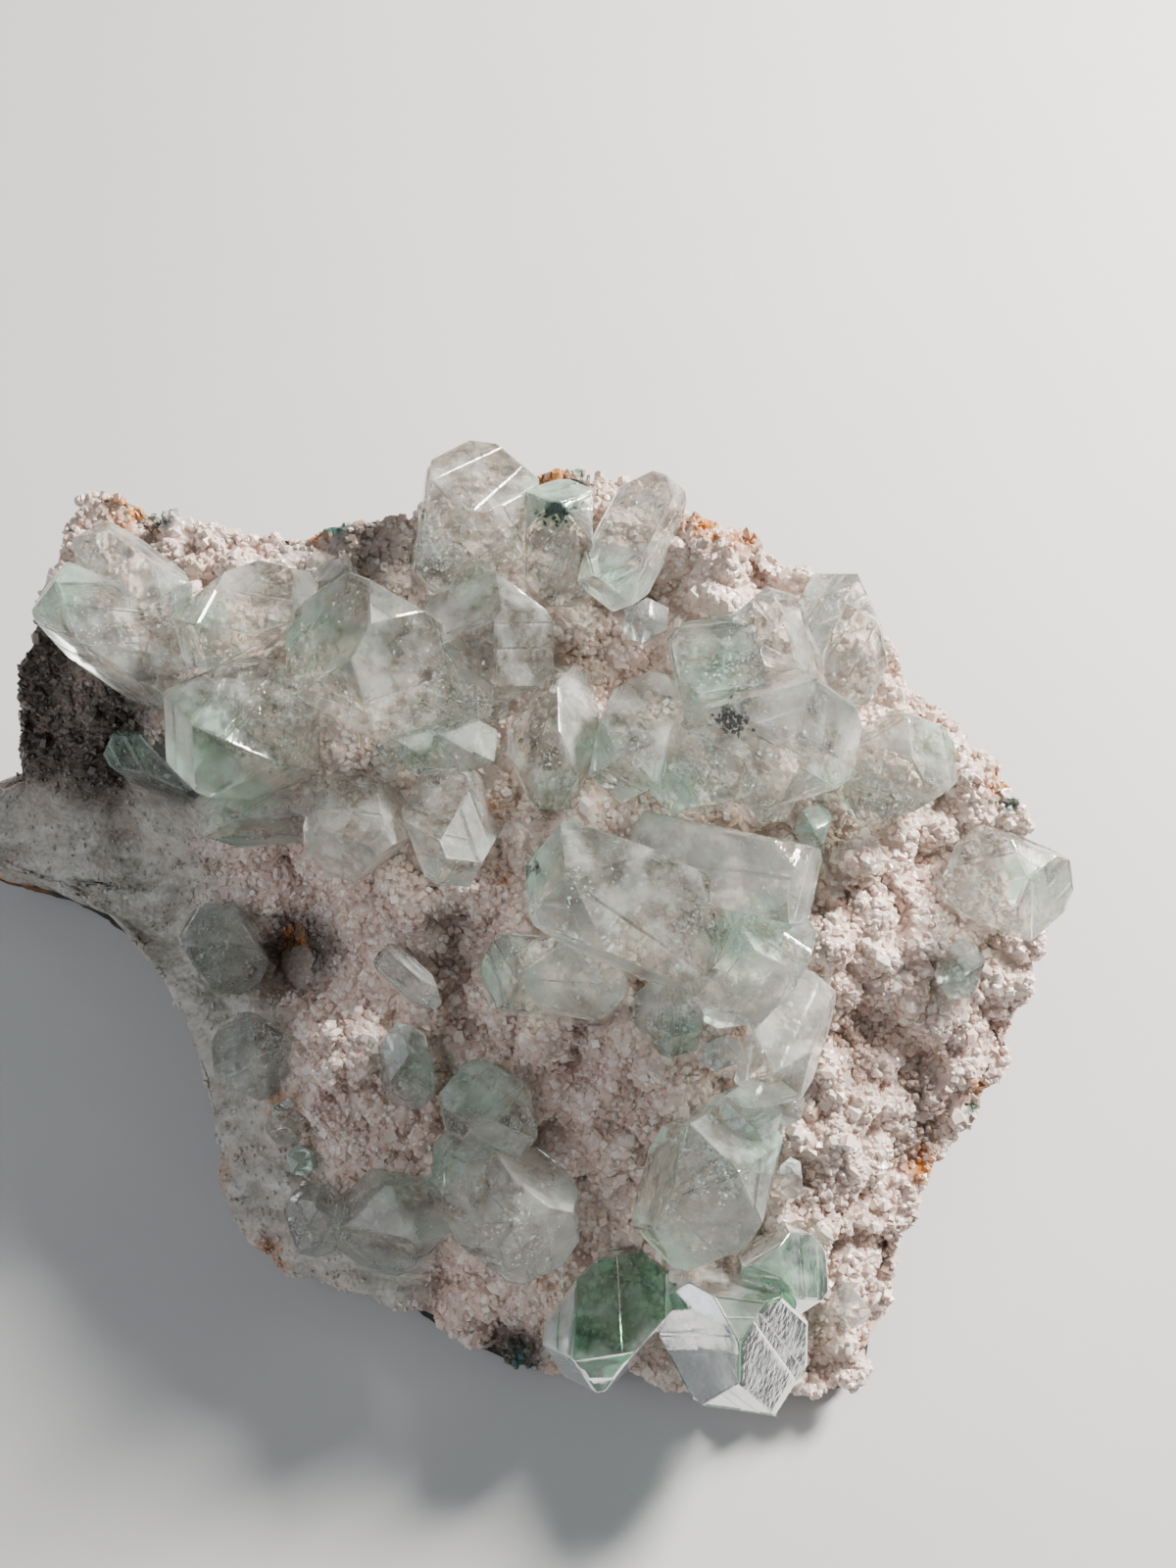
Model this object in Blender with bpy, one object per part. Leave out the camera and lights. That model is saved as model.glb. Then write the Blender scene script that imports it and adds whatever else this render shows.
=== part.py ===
"""An apophyllite cluster: blocky pale green crystals grown on a pink druse crust over dark basalt.

The specimen stands on the sawn-flat foot of its basalt. +X is to the right, +Y is away from the
display side and +Z is up. The origin is on the resting plane, under the middle of the specimen.
Lengths below are millimetres and angles are degrees. The meshes are scaled to metres at the end.
"""

import math
import random
from collections import namedtuple

import bmesh
import bpy
import numpy as np
from mathutils import Matrix, Vector, noise

# The display side is laid out on a picture plane that faces whoever looks at the specimen.
# A place on it is u to the right and v upwards, in mm, measured at AIM's distance.
VIEW_ELEVATION = 66.0
VIEW_DISTANCE = 220.0
AIM = Vector((15.8, 17.6, 46.0))

# The crust and the rock
AROUND_CRUST = 96
AROUND_ROCK = 48
CRUST_RINGS = 14
UNDER_RINGS = 5
CRUST_THICKNESS = 9.0
THIN_SHARE = 0.55  # where the specimen is low, the crust is this share of its height
EDGE_THICKNESS = 5.0
EDGE_SCALE = 0.97  # the crust's lower edge is drawn in to this share of its rim
UNDER_SCALE = 0.94
STIFFNESS = 6.0  # 0 would make the sheet run exactly through each given height
LUMP_SIZE = 12.0
LUMP_HEIGHT = 2.8
MIDDLE = Vector((7.3, 4.6))  # the rings of the crust close in on this point

# How far the rock's side is drawn in, and at what share of its height, from the edge to the foot
ROCK_SIDE = [(0.975, 0.88), (0.94, 0.62), (0.88, 0.36), (0.82, 0.14), (0.77, 0.0)]
ROCK_WOBBLE = 0.05
WOBBLE_SIZE = 14.0

# The gap that grown-together pieces keep, and how deep a crystal is rooted in the crust
GAP = 0.3
BED_GAP = 1.5 * GAP  # between crust and rock, whose faces are laid over each other at a slant
ROOT = 3.0
LOWEST = 1.0  # no crystal comes nearer to the resting plane

# Apophyllite's pyramid faces stand on the corners of its square prism, this far from the basal face
PYRAMID_ANGLE = 60.5
ROOT_CUT = 1.6  # how much of the rooted end's point is cut off, in half widths
FACE_SPREAD = 0.06  # how far a prism face strays from its distance, as a share
POINT_SPREAD = 0.08

Rim = namedtuple("Rim", "u v z")
Hump = namedtuple("Hump", "u v radius height")
Crystal = namedtuple("Crystal", "u v clock lean spin across deep long cut lift", defaults=(None,))

# The crust's rim, seen from the display side, with its height over the resting plane.
# It runs anticlockwise from the right.
RIM = [
    Rim(55, -22, 30), Rim(54, -7, 38), Rim(50, 1, 43), Rim(45, 8, 47), Rim(40, 14, 50),
    Rim(36, 19, 52), Rim(30, 24, 54), Rim(22, 29, 57), Rim(15, 32.5, 59), Rim(5, 37.5, 60),
    Rim(-4, 38, 60), Rim(-12, 37, 60), Rim(-21, 33, 58), Rim(-32, 30.5, 56), Rim(-43, 30.5, 55),
    Rim(-53, 33.5, 54), Rim(-60, 34.5, 54), Rim(-64, 31, 53), Rim(-66, 24, 50), Rim(-68, 17, 46),
    Rim(-69.5, 11, 38), Rim(-69, 5.5, 28), Rim(-69, 1.5, 18), Rim(-77, -1, 15), Rim(-79, -5, 14),
    Rim(-76, -9, 13), Rim(-66, -12, 14), Rim(-58, -17, 15), Rim(-52, -24, 15), Rim(-49, -30, 15),
    Rim(-47, -38, 14), Rim(-45, -48, 11), Rim(-42, -56, 9), Rim(-36, -60, 7.5), Rim(-28, -62.5, 7),
    Rim(-18, -66.5, 6), Rim(-8, -71, 5.5), Rim(4, -72.5, 5), Rim(14, -75, 5), Rim(25, -75, 5.5),
    Rim(33.5, -73, 6), Rim(36, -65, 9), Rim(39, -56, 13), Rim(41, -48, 16), Rim(47, -41, 19),
    Rim(52, -32, 24),
]  # fmt: skip

# Heights of the crust inside the rim: its ridges, hollows and the fall to the front
RELIEF = [
    Rim(-56, 26, 53), Rim(-44, 22, 54), Rim(-30, 20, 54), Rim(-14, 24, 56), Rim(2, 28, 58),
    Rim(7, 18, 53), Rim(20, 22, 56), Rim(32, 12, 51), Rim(44, -2, 44), Rim(48, -14, 38),
    Rim(-50, 8, 48), Rim(-36, 4, 50), Rim(-22, 6, 50), Rim(-4, 6, 48), Rim(14, 8, 51),
    Rim(24, 2, 50), Rim(36, -4, 44), Rim(-60, 12, 46), Rim(-58, 4, 34), Rim(-56, -4, 20),
    Rim(-50, -8, 22), Rim(-42, -12, 28), Rim(-32, -10, 38), Rim(-20, -8, 43), Rim(-6, -8, 46),
    Rim(10, -14, 46), Rim(24, -16, 43), Rim(38, -20, 38), Rim(46, -30, 29), Rim(-48, -20, 18),
    Rim(-36, -20, 21), Rim(-30, -32, 31), Rim(-20, -24, 34), Rim(-8, -24, 40), Rim(8, -30, 38),
    Rim(24, -34, 34), Rim(36, -34, 32), Rim(-42, -38, 18), Rim(-30, -42, 24), Rim(-16, -38, 28),
    Rim(0, -38, 31), Rim(16, -46, 27), Rim(30, -48, 24), Rim(-36, -52, 13), Rim(-22, -52, 17),
    Rim(-8, -52, 20), Rim(6, -56, 17), Rim(22, -62, 15), Rim(32, -60, 15), Rim(-16, -61, 11),
    Rim(2, -66, 9), Rim(16, -70, 8),
]  # fmt: skip

# Lumps, ledges and pits of the crust, on the picture plane: radius and height, negative for a pit
HUMPS = [
    Hump(-35.5, -21.0, 4.5, -7.0), Hump(-30.5, -32.5, 5.0, 5.0), Hump(-22.0, -15.0, 4.5, 2.5),
    Hump(-14.0, -19.0, 4.5, -4.0), Hump(-8.5, -30.0, 5.0, 3.0), Hump(4.0, -33.5, 5.5, 3.0),
    Hump(6.0, 15.0, 5.0, -3.5), Hump(14.0, 27.0, 6.0, 2.0), Hump(-8.0, -1.0, 5.0, 2.5),
    Hump(34.0, -14.0, 5.5, 2.5), Hump(31.0, -25.0, 5.5, 2.0), Hump(41.0, -36.5, 4.0, -5.0),
    Hump(38.5, -44.0, 3.5, -4.0), Hump(36.0, -28.0, 3.5, -3.0), Hump(29.0, -52.0, 5.0, 2.0),
    Hump(-14.0, -62.0, 4.0, 2.0), Hump(-30.0, 3.5, 4.0, 2.0), Hump(-38.0, -44.0, 4.0, -3.0),
    Hump(44.0, 3.0, 5.0, 1.5), Hump(-2.0, -57.0, 4.0, -2.0),
]  # fmt: skip

# Each crystal's middle on the picture plane; the angle there at which its free end points, from
# the right and anticlockwise; how far that end leans towards the eye; its turn about its own axis;
# its half widths across and deep and its half length; how much of its point is cut off, in half
# widths; and, where it isn't worked out from those, how far it stands out of the crust.
CRYSTALS = {
    "upper_left_crystals": [
        Crystal(-55.5, 25.5, -36, 25, 10, 3.6, 3.4, 8.2, 1.4),
        Crystal(-58.0, 18.0, 143, 20, 22, 4.4, 4.2, 9.6, 1.0),
    ],
    "left_crystals": [
        Crystal(-41.5, 20.2, 205, 30, 20, 4.6, 4.4, 8.0, 1.2),
        Crystal(-42.5, 6.4, 195, 32, 12, 6.9, 6.0, 7.8, 1.3),
        Crystal(-39.8, -3.0, 186, 12, 30, 3.4, 3.6, 8.0, 1.0),
        Crystal(-34.0, -1.6, 40, 30, 10, 2.0, 2.0, 3.2, 1.0),
        Crystal(-26.5, 14.8, 148, 42, 5, 7.4, 7.2, 7.8, 1.7),
        Crystal(-23.0, 10.0, 148, 42, 5, 4.6, 5.0, 5.4, 1.6),
        Crystal(-12.2, 17.7, 128, 45, 25, 5.7, 5.5, 6.2, 1.4),
        Crystal(-14.2, 11.2, 128, 45, 25, 3.2, 3.4, 3.6, 1.4),
        Crystal(-17.0, 4.8, 2, 30, 30, 3.0, 3.0, 5.2, 1.2),
        Crystal(-24.6, 3.2, 60, 40, 10, 1.9, 1.9, 2.4, 1.2),
        Crystal(-16.8, -5.5, -78, 40, 15, 4.4, 4.3, 6.6, 0.9),
        Crystal(-27.2, -5.8, -30, 62, 20, 6.6, 6.2, 6.0, 0.3),
    ],
    "ledge_crystal": [Crystal(-30.3, 24.1, 120, 40, 15, 2.3, 2.3, 2.9, 1.4)],
    "shaded_crystal": [Crystal(-52.2, 2.8, 155, 10, 20, 3.6, 3.4, 7.0, 0.8, -2.0)],
    "top_crystals": [
        Crystal(-13.6, 33.6, 72, 50, 15, 6.6, 6.0, 5.6, 1.5),
        Crystal(-17.5, 29.5, 72, 50, 15, 3.6, 4.4, 4.4, 1.5),
        Crystal(-3.6, 29.5, 88, 30, 0, 3.8, 4.0, 6.7, 1.5),
        Crystal(5.4, 29.8, -117, 20, 20, 3.5, 3.6, 8.0, 1.3),
    ],
    "nook_crystal": [Crystal(7.2, 20.0, 30, 50, 0, 2.2, 2.1, 2.5, 1.2)],
    "saddle_crystal": [Crystal(-4.2, 5.6, -88, 30, 40, 4.0, 3.9, 8.4, 1.0, 3.0)],
    "right_crystals": [
        Crystal(6.4, 5.6, 246, 38, 20, 4.2, 4.2, 7.2, 1.3),
        Crystal(15.9, 13.4, 100, 65, 0, 4.8, 4.8, 5.2, 2.0),
        Crystal(23.9, 18.0, 150, 45, 20, 4.2, 4.0, 5.4, 1.2),
        Crystal(30.6, 17.7, 108, 35, 10, 3.9, 4.2, 7.5, 1.2),
        Crystal(23.0, 5.5, 5, 45, 20, 6.4, 6.4, 8.0, 1.4),
        Crystal(17.5, 4.0, 5, 45, 20, 4.4, 5.0, 6.0, 1.6),
        Crystal(12.9, -0.4, 183, 40, 10, 2.8, 2.8, 4.4, 1.3),
        Crystal(22.2, -1.4, -70, 40, 20, 2.6, 2.6, 2.8, 1.2),
    ],
    "chip_crystal": [Crystal(27.4, -5.2, -110, 40, 0, 1.9, 1.9, 2.2, 1.2)],
    "fan_crystal": [
        Crystal(38.0, 2.6, 22, 45, 15, 5.0, 4.6, 5.3, 1.5),
        Crystal(35.6, -0.5, 22, 45, 15, 3.0, 3.2, 3.8, 1.5),
    ],
    "edge_crystal": [Crystal(51.4, -12.0, -28, 45, 10, 5.5, 5.2, 5.7, 1.5)],
    "lower_edge_crystal": [Crystal(45.5, -22.8, 250, 40, 0, 2.4, 2.4, 3.0, 1.2)],
    "middle_crystals": [
        Crystal(4.7, -15.0, 154, 25, 12, 6.4, 6.6, 11.6, 1.1),
        Crystal(16.4, -10.2, -12, 25, 0, 4.6, 4.8, 10.2, 1.9),
        Crystal(-4.2, -24.2, 165, 35, 15, 4.4, 4.5, 7.4, 1.5),
        Crystal(10.4, -28.8, -62, 40, 20, 3.3, 3.3, 3.9, 1.0),
        Crystal(19.6, -21.8, 55, 45, 10, 4.5, 4.6, 7.6, 1.7),
        Crystal(24.3, -31.0, -116, 35, 20, 4.1, 4.1, 7.4, 1.2),
    ],
    "stub_crystal": [Crystal(16.0, -33.0, 200, 40, 0, 1.7, 1.7, 2.1, 1.0)],
    "splinter_crystal": [Crystal(-21.6, -23.9, -40, 15, 20, 1.6, 1.6, 5.0, 0.5)],
    "hollow_crystal": [Crystal(-22.3, -34.1, 92, 30, 20, 2.8, 2.8, 5.1, 0.7)],
    "lower_middle_crystals": [
        Crystal(-12.2, -40.3, 98, 45, 5, 5.1, 4.9, 4.6, 1.4),
        Crystal(-9.6, -51.3, -48, 48, 20, 5.8, 5.6, 7.8, 1.5),
        Crystal(-13.5, -47.5, -48, 48, 20, 3.6, 4.0, 5.0, 1.5),
    ],
    "lower_right_crystals": [
        Crystal(14.6, -48.8, 66, 35, 15, 6.0, 5.8, 9.3, 1.3),
        Crystal(18.0, -43.0, 66, 35, 15, 3.6, 4.0, 5.6, 1.4),
    ],
    "spur_crystal": [Crystal(24.5, -39.2, 80, 40, 0, 1.7, 1.7, 1.9, 1.2)],
    "slip_crystal": [Crystal(24.8, -48.2, 95, 30, 0, 1.3, 1.3, 2.4, 1.0)],
    "foot_crystals": [
        Crystal(2.6, -65.6, 222, 28, 20, 5.4, 4.6, 8.0, 1.2),
        Crystal(17.8, -67.4, -12, 55, 15, 7.4, 5.4, 8.0, 1.6),
        Crystal(24.0, -59.7, 30, 50, 10, 4.3, 4.0, 4.2, 1.6),
    ],
    "low_chip_crystal": [Crystal(32.2, -63.9, -50, 30, 0, 1.7, 1.7, 2.3, 1.2)],
    "left_rim_crystal": [Crystal(-40.4, -33.4, 145, 50, 10, 4.3, 4.0, 4.6, 1.6)],
    "arm_crystal": [Crystal(-44.5, -20.0, 115, 40, 10, 4.2, 4.0, 5.0, 1.5)],
    "white_chip": [Crystal(-37.0, -41.4, 60, 45, 20, 2.2, 2.0, 2.3, 1.6)],
    "bead_crystal": [Crystal(-35.2, -46.1, 100, 45, 0, 1.5, 1.5, 1.5, 1.2)],
    "lower_left_crystals": [
        Crystal(-33.6, -52.8, 98, 30, 20, 3.2, 3.2, 4.2, 1.0),
        Crystal(-24.0, -53.5, 31, 40, 25, 5.2, 4.4, 5.9, 1.3),
    ],
}  # fmt: skip

# Colour, roughness and metallic value of each material
CRYSTAL_FINISH = ((0.66, 0.80, 0.72, 1.0), 0.06, 0.0)
CRUST_FINISH = ((0.66, 0.52, 0.47, 1.0), 0.7, 0.0)
ROCK_FINISH = ((0.055, 0.065, 0.06, 1.0), 0.85, 0.0)


def clear_scene():
    for found in list(bpy.data.objects):
        bpy.data.objects.remove(found, do_unlink=True)


def make_material(name, finish):
    colour, roughness, metallic = finish
    material = bpy.data.materials.new(name)
    material.use_nodes = True
    shader = material.node_tree.nodes["Principled BSDF"]
    shader.inputs["Base Color"].default_value = colour
    shader.inputs["Roughness"].default_value = roughness
    shader.inputs["Metallic"].default_value = metallic
    return material


# The picture plane's directions

ELEVATION = math.radians(VIEW_ELEVATION)
TO_RIGHT = Vector((1, 0, 0))
TO_TOP = Vector((0, math.sin(ELEVATION), math.cos(ELEVATION)))
TO_EYE = Vector((0, -math.cos(ELEVATION), math.sin(ELEVATION)))
EYE = AIM + VIEW_DISTANCE * TO_EYE


def seen_at(u, v, z):
    """The point at height z that shows at u, v on the picture plane."""
    along = AIM + u * TO_RIGHT + v * TO_TOP - EYE
    return EYE + along * ((z - EYE.z) / along.z)


# The relief: a smooth sheet through the given heights, with lumps on it


def plate_kernel(distance):
    """The thin-plate spline's kernel, 0 at no distance."""
    return np.where(distance > 0, distance**2 * np.log(np.maximum(distance, 1e-9)), 0)


def fit_relief(points):
    """The weights of a thin-plate sheet through points, which are rows of x, y, z."""
    count = len(points)
    plan = points[:, :2]
    apart = np.linalg.norm(plan[:, None] - plan[None], axis=2)
    matrix = np.zeros((count + 3, count + 3))
    matrix[:count, :count] = plate_kernel(apart) + STIFFNESS * np.eye(count)
    matrix[:count, count] = 1
    matrix[:count, count + 1 :] = plan
    matrix[count:, :count] = matrix[:count, count:].T
    heights = np.concatenate([points[:, 2], np.zeros(3)])
    return plan, np.linalg.solve(matrix, heights)


SHEET = fit_relief(np.array([seen_at(*place) for place in RIM + RELIEF]))


def relief(x, y):
    """The height of the smooth sheet at x, y."""
    plan, weights = SHEET
    distance = np.linalg.norm(plan - (x, y), axis=1)
    bend = plate_kernel(distance) @ weights[:-3]
    return float(bend + weights[-3] + weights[-2] * x + weights[-1] * y)


def relief_normal(x, y):
    step = 1.5
    slope_x = (relief(x + step, y) - relief(x - step, y)) / (2 * step)
    slope_y = (relief(x, y + step) - relief(x, y - step)) / (2 * step)
    return Vector((-slope_x, -slope_y, 1)).normalized()


def on_relief(u, v):
    """The point of the sheet that shows at u, v."""
    low, high = 0.0, 75.0
    for _ in range(24):
        z = (low + high) / 2
        point = seen_at(u, v, z)
        if point.z > relief(point.x, point.y):
            high = z
        else:
            low = z
    return seen_at(u, v, (low + high) / 2)


HUMP_PLACES = [(on_relief(hump.u, hump.v).xy, hump.radius, hump.height) for hump in HUMPS]


def lumps(x, y):
    """How far the crust's rounded lumps stand over the sheet."""
    place = Vector((x, y, 0)) / LUMP_SIZE
    near = noise.voronoi(place, distance_metric="DISTANCE")[0][0]
    small = noise.noise(place * 2.3)
    broad = noise.noise(place * 0.45)
    grown = LUMP_HEIGHT * (0.9 - 1.5 * near + 0.45 * small + 0.7 * broad)
    for middle, radius, height in HUMP_PLACES:
        apart = (middle - Vector((x, y))).length / radius
        grown += height * math.exp(-(apart**2))
    return grown


def rim_curve(count):
    """count points spaced evenly along a smooth loop through RIM, as places from MIDDLE."""
    corners = [seen_at(*place) for place in RIM]
    loop = []
    for i in range(len(corners)):
        before, start, end, after = (corners[(i + k - 1) % len(corners)].xy for k in range(4))
        for step in range(12):
            t = step / 12
            loop.append(
                start
                + (end - before) * (t / 2)
                + (before - 2.5 * start + 2 * end - after / 2) * t**2
                + (1.5 * start - before / 2 - 1.5 * end + after / 2) * t**3
            )
    loop.append(loop[0])
    run = np.concatenate([[0], np.cumsum([(q - p).length for p, q in zip(loop, loop[1:])])])
    marks = np.arange(count) * run[-1] / count
    xs = np.interp(marks, run, [p.x for p in loop])
    ys = np.interp(marks, run, [p.y for p in loop])
    return [Vector((x, y)) - MIDDLE for x, y in zip(xs, ys)]


# Rings of points about MIDDLE, from which the crust and the rock are built


def ring(bm, rim, share, height, scale=1.0):
    """Adds the points of rim at that share of the way out, drawn in by scale, at height(x, y)."""
    points = []
    for spoke in rim:
        out = MIDDLE + spoke * share
        drawn_in = MIDDLE + spoke * share * scale
        points.append(bm.verts.new((drawn_in.x, drawn_in.y, height(out.x, out.y))))
    return points


def join_rings(bm, outer, inner, up=True):
    """Faces between two rings of points. The outer ring may have twice the inner one's points."""
    count = len(inner)
    fold = len(outer) // count
    for k in range(count):
        after = (k + 1) % count
        arc = [outer[(fold * k + s) % len(outer)] for s in range(fold + 1)]
        if fold == 1:
            faces = [(arc[0], arc[1], inner[after]), (arc[0], inner[after], inner[k])]
        else:
            faces = [
                (arc[0], arc[1], inner[k]),
                (inner[k], arc[1], inner[after]),
                (arc[1], arc[2], inner[after]),
            ]
        for face in faces:
            bm.faces.new(face if up else reversed(face))


def close_ring(bm, points, height, up=True):
    """A fan from a ring to a point over MIDDLE."""
    hub = bm.verts.new((MIDDLE.x, MIDDLE.y, height(MIDDLE.x, MIDDLE.y)))
    for k, point in enumerate(points):
        face = (point, points[(k + 1) % len(points)], hub)
        bm.faces.new(face if up else reversed(face))


def finish(bm, name, material):
    """Turns a millimetre bmesh into a named object in metres."""
    bmesh.ops.recalc_face_normals(bm, faces=bm.faces)
    bmesh.ops.scale(bm, vec=(0.001, 0.001, 0.001), verts=bm.verts)
    mesh = bpy.data.meshes.new(name)
    bm.to_mesh(mesh)
    bm.free()
    mesh.materials.append(material)
    found = bpy.data.objects.new(name, mesh)
    bpy.context.scene.collection.objects.link(found)
    return found


def crust_top(x, y):
    return max(relief(x, y) + lumps(x, y), 3.0)


def crust_under(x, y):
    """The crust's lower side: CRUST_THICKNESS down, or less where the specimen is low."""
    height = relief(x, y)
    return height - min(CRUST_THICKNESS, THIN_SHARE * height)


def edge_thickness(x, y):
    return min(EDGE_THICKNESS, 0.5 * relief(x, y))


def under_shares():
    return [1 - k / UNDER_RINGS for k in range(1, UNDER_RINGS)]


def make_crust(rim, material):
    """The druse crust: a lumpy sheet with a rounded edge."""
    bm = bmesh.new()
    top = []
    for k in range(CRUST_RINGS):
        share = 1 - k / CRUST_RINGS
        fold = 1 if share > 0.5 else 2 if share > 0.25 else 4
        top.append(ring(bm, rim[::fold], share, crust_top))
    for outer, inner in zip(top, top[1:]):
        join_rings(bm, outer, inner)
    close_ring(bm, top[-1], crust_top)
    coarse = rim[:: AROUND_CRUST // AROUND_ROCK]

    def edge(x, y):
        return relief(x, y) - edge_thickness(x, y)

    under = [ring(bm, coarse, 1.0, edge, EDGE_SCALE)]
    join_rings(bm, top[0], under[0], up=False)
    for share in under_shares():
        under.append(ring(bm, coarse, share, crust_under, UNDER_SCALE))
    for outer, inner in zip(under, under[1:]):
        join_rings(bm, outer, inner, up=False)
    close_ring(bm, under[-1], crust_under, up=False)
    return finish(bm, "druse_crust", material)


def make_rock(rim, material):
    """The basalt under the crust, drawn in to a flat foot."""
    bm = bmesh.new()
    coarse = rim[:: AROUND_CRUST // AROUND_ROCK]

    def edge(x, y):
        return relief(x, y) - edge_thickness(x, y) - BED_GAP

    def bed(x, y):
        return crust_under(x, y) - BED_GAP

    top = [ring(bm, coarse, 1.0, edge, EDGE_SCALE)]
    for share in under_shares():
        top.append(ring(bm, coarse, share, bed, UNDER_SCALE))
    for outer, inner in zip(top, top[1:]):
        join_rings(bm, outer, inner)
    close_ring(bm, top[-1], bed)
    last = top[0]
    for scale, share in ROCK_SIDE:
        drawn = [spoke * scale * rock_wobble(spoke, share) for spoke in coarse]
        points = []
        for spoke, inward in zip(coarse, drawn):
            rim_height = edge(MIDDLE.x + spoke.x, MIDDLE.y + spoke.y)
            place = MIDDLE + inward
            points.append(bm.verts.new((place.x, place.y, rim_height * share)))
        join_rings(bm, last, points, up=False)
        last = points
    close_ring(bm, last, lambda x, y: 0.0, up=False)
    return finish(bm, "basalt_base", material)


def rock_wobble(spoke, share):
    """A few percent in or out, so that the rock's side is rough-broken."""
    place = Vector((spoke.x, spoke.y, 90 * share)) / WOBBLE_SIZE
    return 1 + ROCK_WOBBLE * noise.noise(place)


# Crystals


def crystal_faces(crystal, seed):
    """The faces of one crystal, as directions in its own frame and distances from its middle."""
    dice = random.Random(seed)

    def about(value, spread=FACE_SPREAD):
        return value * dice.uniform(1 - spread, 1 + spread)

    faces = []
    for side in (-1, 1):
        faces.append((Vector((side, 0, 0)), about(crystal.across)))
        faces.append((Vector((0, side, 0)), about(crystal.deep)))
    tilt = math.radians(PYRAMID_ANGLE)
    half_width = (crystal.across + crystal.deep) / 2
    for end, cut in ((1, crystal.cut), (-1, ROOT_CUT)):
        apex = crystal.long + cut * half_width
        faces.append((Vector((0, 0, end)), crystal.long))
        for turn in (45, 135, 225, 315):
            corner = math.radians(turn)
            out = Vector((math.cos(corner), math.sin(corner), 0)) * math.sin(tilt)
            direction = out + Vector((0, 0, end * math.cos(tilt)))
            faces.append((direction, about(apex * math.cos(tilt), POINT_SPREAD)))
    return faces


def crystal_frame(crystal):
    """The crystal's own directions: across, deep and along its axis."""
    clock, lean, spin = (math.radians(a) for a in (crystal.clock, crystal.lean, crystal.spin))
    in_picture = TO_RIGHT * math.cos(clock) + TO_TOP * math.sin(clock)
    axis = in_picture * math.cos(lean) + TO_EYE * math.sin(lean)
    across = TO_EYE.cross(in_picture)
    turned = Matrix.Rotation(spin, 3, axis) @ across
    return Matrix((turned, axis.cross(turned), axis)).transposed()


def crystal_middle(crystal):
    """The crystal's middle, and the crust's place and direction under it."""
    foot = on_relief(crystal.u, crystal.v)
    lift = crystal.lift
    if lift is None:
        lean = math.radians(crystal.lean)
        lift = 0.7 * crystal.deep * math.cos(lean) + 0.55 * crystal.long * math.sin(lean)
    middle = foot + (EYE - foot).normalized() * lift
    return middle, foot, relief_normal(foot.x, foot.y)


def cut_off(bm, point, direction):
    """Cuts a closed bmesh by a plane and closes it, keeping the side that direction leaves."""
    geometry = bm.verts[:] + bm.edges[:] + bm.faces[:]
    found = bmesh.ops.bisect_plane(
        bm, geom=geometry, dist=1e-5, plane_co=point, plane_no=direction, clear_outer=True
    )
    edges = [e for e in found["geom_cut"] if isinstance(e, bmesh.types.BMEdge)]
    if len(edges) > 2:
        bmesh.ops.contextual_create(bm, geom=edges)


def make_crystal(crystal, name, seed, grow=0.0):
    """One crystal as a convex solid, its faces moved out by grow."""
    middle, foot, normal = crystal_middle(crystal)
    frame = crystal_frame(crystal)
    bm = bmesh.new()
    bmesh.ops.create_cube(bm, size=200)
    bmesh.ops.translate(bm, vec=middle, verts=bm.verts)
    for direction, distance in crystal_faces(crystal, seed):
        outward = frame @ direction
        cut_off(bm, middle + outward * (distance + grow), outward)
    root = min(ROOT, 0.3 * foot.z)
    cut_off(bm, foot - normal * (root + grow), -normal)
    cut_off(bm, Vector((0, 0, LOWEST - grow)), Vector((0, 0, -1)))
    bmesh.ops.dissolve_limit(bm, angle_limit=0.01, verts=bm.verts, edges=bm.edges)
    return bm


def helper_collection(name):
    found = bpy.data.collections.new(name)
    bpy.context.scene.collection.children.link(found)
    return found


def hide(found, collection):
    """Makes an object a cutter or a joined-in part, which isn't a piece of its own."""
    bpy.context.scene.collection.objects.unlink(found)
    collection.objects.link(found)
    found.hide_render = True
    found.display_type = "WIRE"


def boolean(target, operation, collection):
    modifier = target.modifiers.new(operation.title(), "BOOLEAN")
    modifier.operation = operation
    modifier.solver = "EXACT"
    modifier.operand_type = "COLLECTION"
    modifier.collection = collection


def make_crystals(material):
    """Each group's crystals joined in one solid. Returns the cutters of the pockets they need."""
    pockets = helper_collection("pockets")
    for name, crystals in CRYSTALS.items():
        joined = helper_collection(name + "_joined")
        for k, crystal in enumerate(crystals):
            seed = f"{name}{k}"
            part_name = name if k == 0 else f"{name}_part{k}"
            part = finish(make_crystal(crystal, part_name, seed), part_name, material)
            if k > 0:
                hide(part, joined)
            pocket = finish(make_crystal(crystal, name, seed, GAP), f"{name}_pocket{k}", material)
            hide(pocket, pockets)
        if len(crystals) > 1:
            boolean(bpy.data.objects[name], "UNION", joined)
    return pockets


def main():
    clear_scene()
    crystal_material = make_material("pale_green_crystal", CRYSTAL_FINISH)
    crust_material = make_material("pink_druse", CRUST_FINISH)
    rock_material = make_material("dark_basalt", ROCK_FINISH)
    rim = rim_curve(AROUND_CRUST)
    crust = make_crust(rim, crust_material)
    rock = make_rock(rim, rock_material)
    pockets = make_crystals(crystal_material)
    for cut in (crust, rock):
        boolean(cut, "DIFFERENCE", pockets)


main()
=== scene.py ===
"""The looks of the apophyllite cluster: a sugary druse, rough basalt and clear, pale green crystals.

+X is to the right, +Y to the back and +Z up, as in the frame. Lengths below are millimetres and
angles are degrees, and a mesh is scaled to metres when it is made.
"""

import math
import random
from collections import namedtuple

import bmesh
import bpy
import numpy as np
from mathutils import Matrix, Vector, noise
from mathutils.bvhtree import BVHTree


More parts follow.
